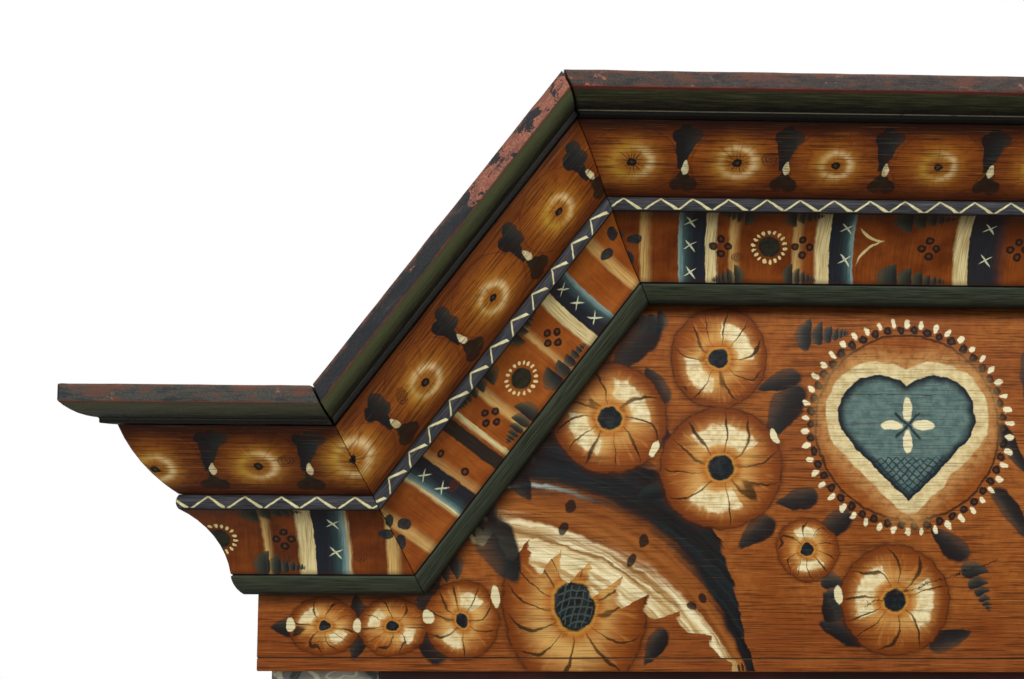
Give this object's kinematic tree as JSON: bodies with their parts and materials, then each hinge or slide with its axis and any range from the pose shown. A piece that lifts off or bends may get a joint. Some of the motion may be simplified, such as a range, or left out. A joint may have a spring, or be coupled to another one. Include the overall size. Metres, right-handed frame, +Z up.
{
  "type": "kas cupboard",
  "caption": "Tall painted kas cupboard with a mitred cornice that steps up over the crown, panelled doors on surface hinges, a long drawer and turned front feet.",
  "frame": {"origin": "on the floor at the middle of the cupboard's bounding box", "axes": "+X to the cupboard's right as seen from the front, +Y to its back, +Z up; the doors face -Y"},
  "size_m": [1.5996, 0.6518, 2.1162],
  "materials": {
    "slab_paint": "worn dark blue-black paint",
    "ochre_paint": "orange-brown grained paint",
    "frieze_paint": "banded decorative paint",
    "side_paint": "dark green paint",
    "bare_pine": "aged bare pine",
    "foot_paint": "worn black paint",
    "marbled_paint": "grey-white marbled paint",
    "rail_paint": "dark red paint",
    "door_paint": "dark blue-green paint",
    "panel_paint": "orange-brown paint with flowers",
    "moulding_paint": "cream paint",
    "knob_wood": "dark turned wood",
    "iron": "black wrought iron"
  },
  "bodies": {
    "case": {"back_boards": "bare_pine", "base_moulding": "side_paint", "base_rail": "rail_paint", "case_floor_board": "bare_pine", "case_side_left": "side_paint", "case_side_right": "side_paint", "case_top_board": "bare_pine", "centre_post": "marbled_paint", "corner_posts": "marbled_paint", "cornice_frieze_flat_left": "frieze_paint", "cornice_frieze_flat_right": "frieze_paint", "cornice_frieze_rake_left": "frieze_paint", "cornice_frieze_rake_right": "frieze_paint", "cornice_frieze_returns": "frieze_paint", "cornice_frieze_top": "frieze_paint", "cornice_ovolo_flat_left": "ochre_paint", "cornice_ovolo_flat_right": "ochre_paint", "cornice_ovolo_rake_left": "ochre_paint", "cornice_ovolo_rake_right": "ochre_paint", "cornice_ovolo_returns": "ochre_paint", "cornice_ovolo_top": "ochre_paint", "cornice_slab_flat_left": "slab_paint", "cornice_slab_flat_right": "slab_paint", "cornice_slab_rake_left": "slab_paint", "cornice_slab_rake_right": "slab_paint", "cornice_slab_returns": "slab_paint", "cornice_slab_top": "slab_paint", "crown_back_board": "bare_pine", "crown_floor_board": "side_paint", "crown_pegs": "bare_pine", "crown_roof_boards": "bare_pine", "crown_side_boards": "side_paint", "crown_tympanum_board": "ochre_paint", "drawer_runners": "bare_pine", "feet": "foot_paint", "head_rail": "rail_paint", "hinge_frame_leaves": "iron", "shelf_cleats": "bare_pine", "shelves": "bare_pine", "waist_moulding": "side_paint", "waist_rail": "rail_paint"},
    "drawer": {"drawer_front": "panel_paint", "drawer_box": "bare_pine", "drawer_knobs": "knob_wood"},
    "door_left": {"door_left_stiles": "door_paint", "door_left_rails": "door_paint", "door_left_panels": "panel_paint", "door_left_mouldings": "moulding_paint", "door_left_hinges": "iron", "door_left_lock": "iron"},
    "key_left": {"door_left_key": "iron"},
    "bolt_left": {"door_left_lock_bolt": "iron"},
    "door_right": {"door_right_stiles": "door_paint", "door_right_rails": "door_paint", "door_right_panels": "panel_paint", "door_right_mouldings": "moulding_paint", "door_right_hinges": "iron", "door_right_lock": "iron"},
    "key_right": {"door_right_key": "iron"},
    "bolt_right": {"door_right_lock_bolt": "iron"}
  },
  "joints": [
    {"name": "drawer_slide", "type": "slide", "parent": "case", "child": "drawer", "axis": [0, -1, 0], "range_m": [0, 0.33]},
    {"name": "door_left_swing", "type": "hinge", "parent": "case", "child": "door_left", "pos_m": [-0.566, -0.189, 1.015], "axis": [0, 0, -1], "range_deg": [0, 165]},
    {"name": "key_left_turn", "type": "hinge", "parent": "door_left", "child": "key_left", "pos_m": [-0.08, -0.17, 0.93], "axis": [0, 1, 0], "range_deg": [0, 360]},
    {"name": "bolt_left_slide", "type": "slide", "parent": "door_left", "child": "bolt_left", "axis": [1, 0, 0], "range_m": [0, 0.015]},
    {"name": "door_right_swing", "type": "hinge", "parent": "case", "child": "door_right", "pos_m": [0.566, -0.189, 1.015], "axis": [0, 0, 1], "range_deg": [0, 165]},
    {"name": "key_right_turn", "type": "hinge", "parent": "door_right", "child": "key_right", "pos_m": [0.08, -0.17, 0.93], "axis": [0, -1, 0], "range_deg": [0, 360]},
    {"name": "bolt_right_slide", "type": "slide", "parent": "door_right", "child": "bolt_right", "axis": [-1, 0, 0], "range_m": [0, 0.015]}
  ],
  "couplings": [
    {"joint": "key_left_turn", "follows": "bolt_left_slide", "rad_per_m": 418.87},
    {"joint": "key_right_turn", "follows": "bolt_right_slide", "rad_per_m": 418.87}
  ]
}
